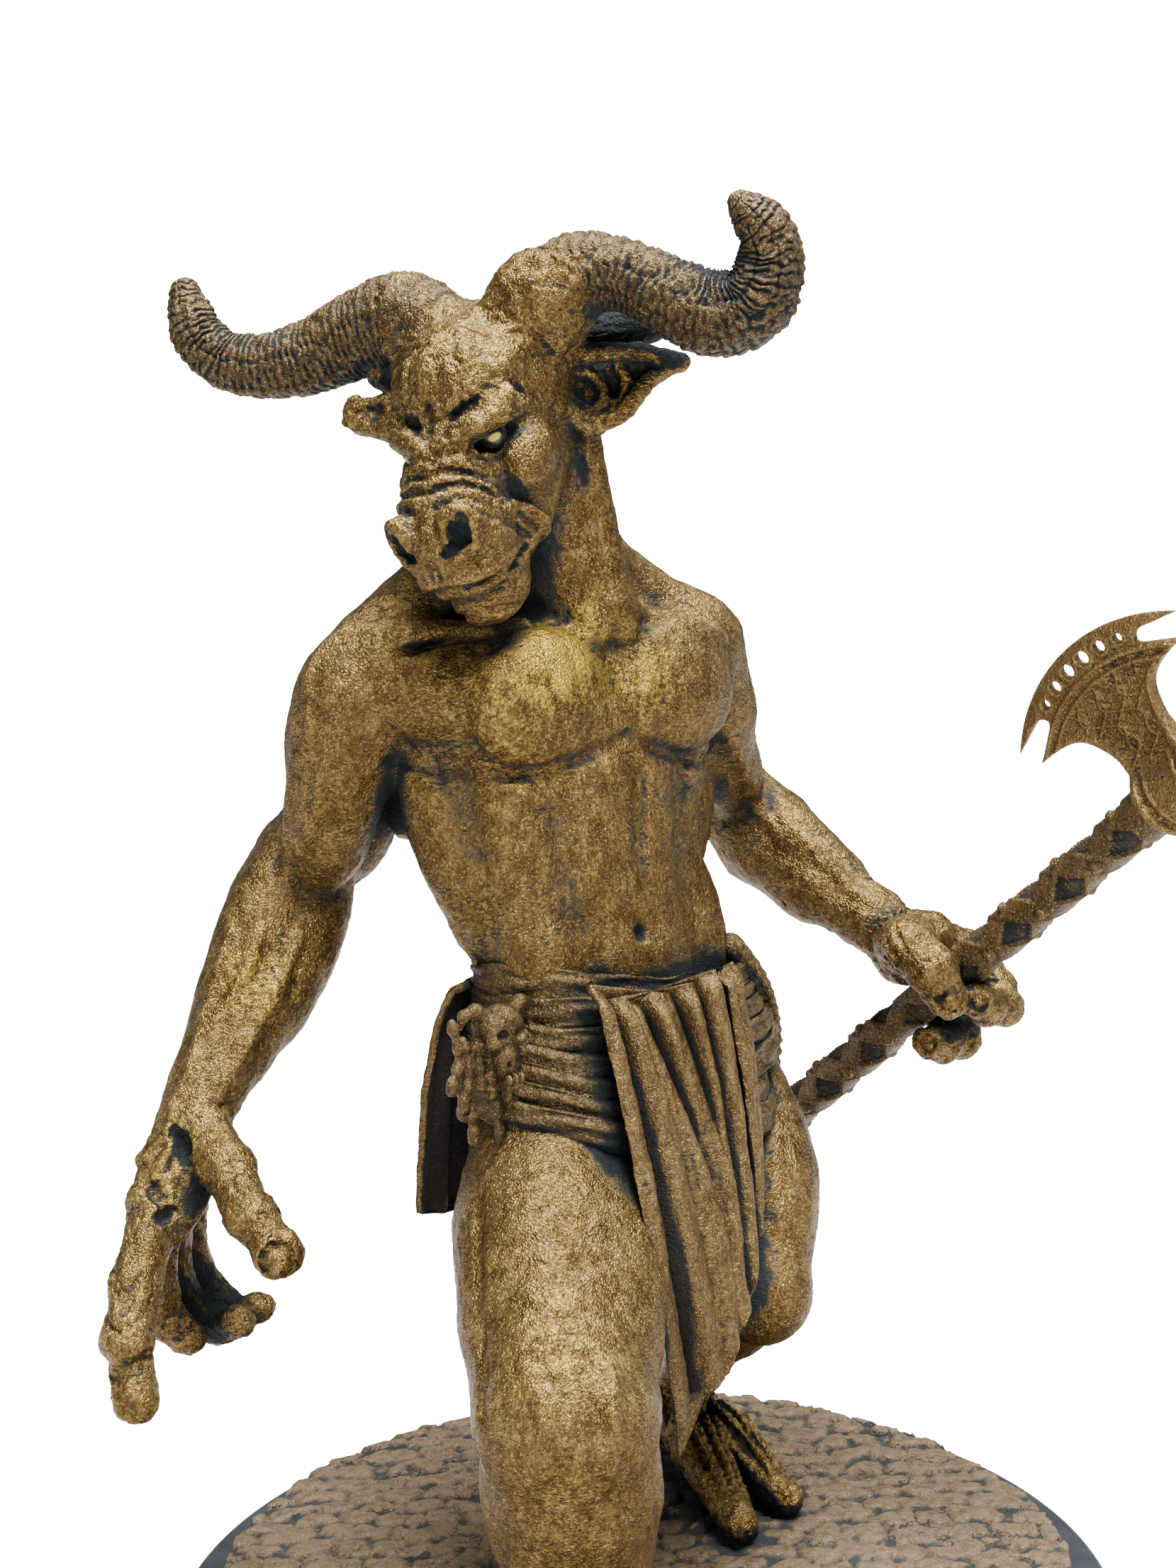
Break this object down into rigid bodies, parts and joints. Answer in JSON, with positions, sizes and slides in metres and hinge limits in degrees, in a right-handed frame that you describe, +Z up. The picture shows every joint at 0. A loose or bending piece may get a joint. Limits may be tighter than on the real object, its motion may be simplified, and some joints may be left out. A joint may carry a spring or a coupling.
{
  "type": "statue",
  "caption": "Cast figurine of a horned bull-headed warrior in a loincloth holding a double-bladed axe, striding on a cobbled round base with a plain plinth.",
  "frame": {"origin": "centre of the plinth's flat underside", "axes": "+Z up; -Y towards the picture's viewer; +X to the viewer's right, the side where the axe is held"},
  "size_m": [0.1913, 0.16, 0.2435],
  "materials": {
    "figure_paint": "antique bronze-gold paint, dark teal in the hollows",
    "strap_paint": "dark bronze paint over carved straps",
    "blade_paint": "bronze-gold paint, dark seams",
    "ground_paint": "matt brown wash over carved cobbles, blue-grey in the joints",
    "plinth_paint": "smooth satin slate grey"
  },
  "bodies": {
    "root": {"minotaur": "figure_paint", "axe_handle": "strap_paint", "axe_head": "blade_paint", "cobbled_ground": "ground_paint", "plinth": "plinth_paint"}
  },
  "joints": []
}
